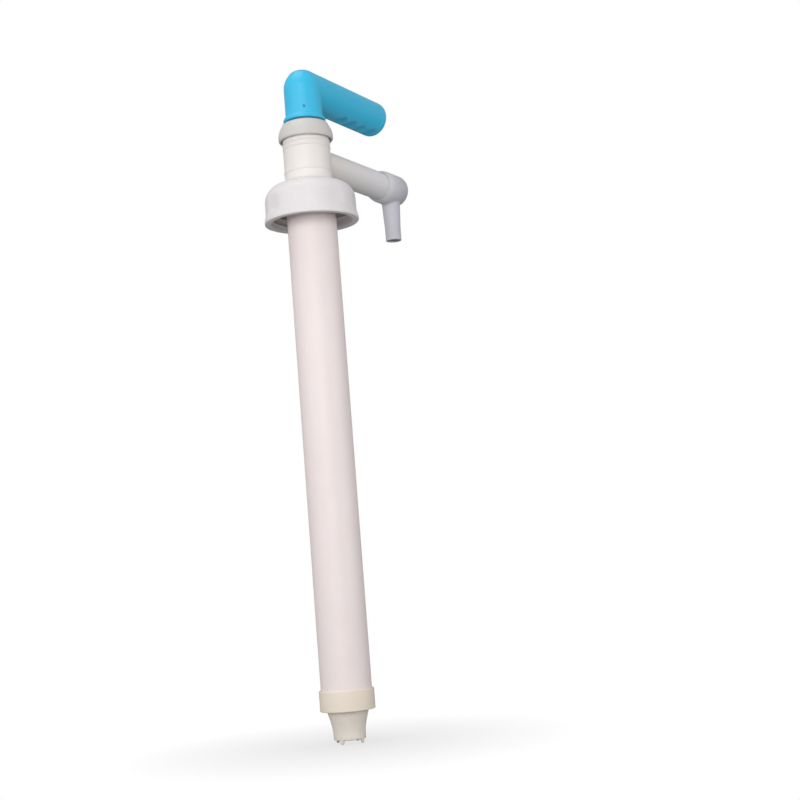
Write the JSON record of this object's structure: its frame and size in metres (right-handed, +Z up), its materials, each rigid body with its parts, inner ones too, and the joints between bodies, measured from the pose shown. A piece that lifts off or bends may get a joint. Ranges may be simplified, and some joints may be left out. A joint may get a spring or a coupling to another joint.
{
  "type": "hand transfer pump",
  "caption": "Piston hand pump for a can: long barrel with foot valve, screw cap, tee head with swivel spout and an angled pull handle.",
  "frame": {"origin": "on the pump's axis, in the plane of the can's neck face that the gasket rests on", "axes": "+Z up along the barrel towards the handle, +X along the spout, +Y to the left of the spout"},
  "size_m": [0.1571, 0.0648, 0.4602],
  "materials": {
    "barrel_plastic": "extruded polypropylene tube, satin",
    "head_plastic": "moulded polypropylene, satin",
    "cap_plastic": "moulded polyethylene, satin",
    "natural_plastic": "unpigmented moulded polyethylene, slightly translucent",
    "rod_plastic": "extruded polypropylene tube, smooth",
    "cream_plastic": "cream moulded polypropylene, satin",
    "handle_plastic": "sky-blue moulded polyethylene, semi-gloss",
    "gasket_rubber": "matt EPDM sheet",
    "seal_rubber": "matt nitrile rubber",
    "pin_steel": "plain stainless dowel",
    "ball_glass": "polished glass marble"
  },
  "bodies": {
    "pump_body": {"barrel_tube": "barrel_plastic", "head_tee": "head_plastic", "neck_flange": "head_plastic", "neck_gasket": "gasket_rubber", "gland_nut": "head_plastic", "rod_guide_bush": "natural_plastic", "rod_seal": "seal_rubber", "spout_o_ring": "seal_rubber", "foot_ring": "cream_plastic", "foot_valve_body": "natural_plastic", "foot_gasket": "seal_rubber", "foot_ball_cage": "natural_plastic"},
    "screw_cap": {"screw_cap": "cap_plastic"},
    "spout": {"spout_elbow": "natural_plastic"},
    "piston_packing": {"piston_cup": "seal_rubber"},
    "rod_assembly": {"piston_rod": "rod_plastic", "handle": "handle_plastic", "handle_pin": "pin_steel", "piston_body": "natural_plastic", "piston_seat_nut": "natural_plastic"},
    "piston_ball": {"piston_ball": "ball_glass"},
    "foot_ball": {"foot_ball": "ball_glass"}
  },
  "joints": [
    {"name": "cap_turn", "type": "hinge", "parent": "pump_body", "child": "screw_cap", "pos_m": [0, 0, 0], "axis": [0, 0, 1], "continuous": true},
    {"name": "spout_swivel", "type": "hinge", "parent": "pump_body", "child": "spout", "pos_m": [0.094, 0, 0.0285], "axis": [1, 0, 0], "range_deg": [-90, 90]},
    {"name": "piston_stroke", "type": "slide", "parent": "pump_body", "child": "piston_packing", "axis": [0, 0, 1], "range_m": [0, 0.295]},
    {"name": "handle_swivel", "type": "hinge", "parent": "piston_packing", "child": "rod_assembly", "pos_m": [0, 0, 0], "axis": [0, 0, 1], "continuous": true},
    {"name": "piston_ball_lift", "type": "slide", "parent": "rod_assembly", "child": "piston_ball", "axis": [0, 0, 1], "range_m": [0, 0.0043]},
    {"name": "foot_ball_lift", "type": "slide", "parent": "pump_body", "child": "foot_ball", "axis": [0, 0, 1], "range_m": [0, 0.0043]}
  ]
}
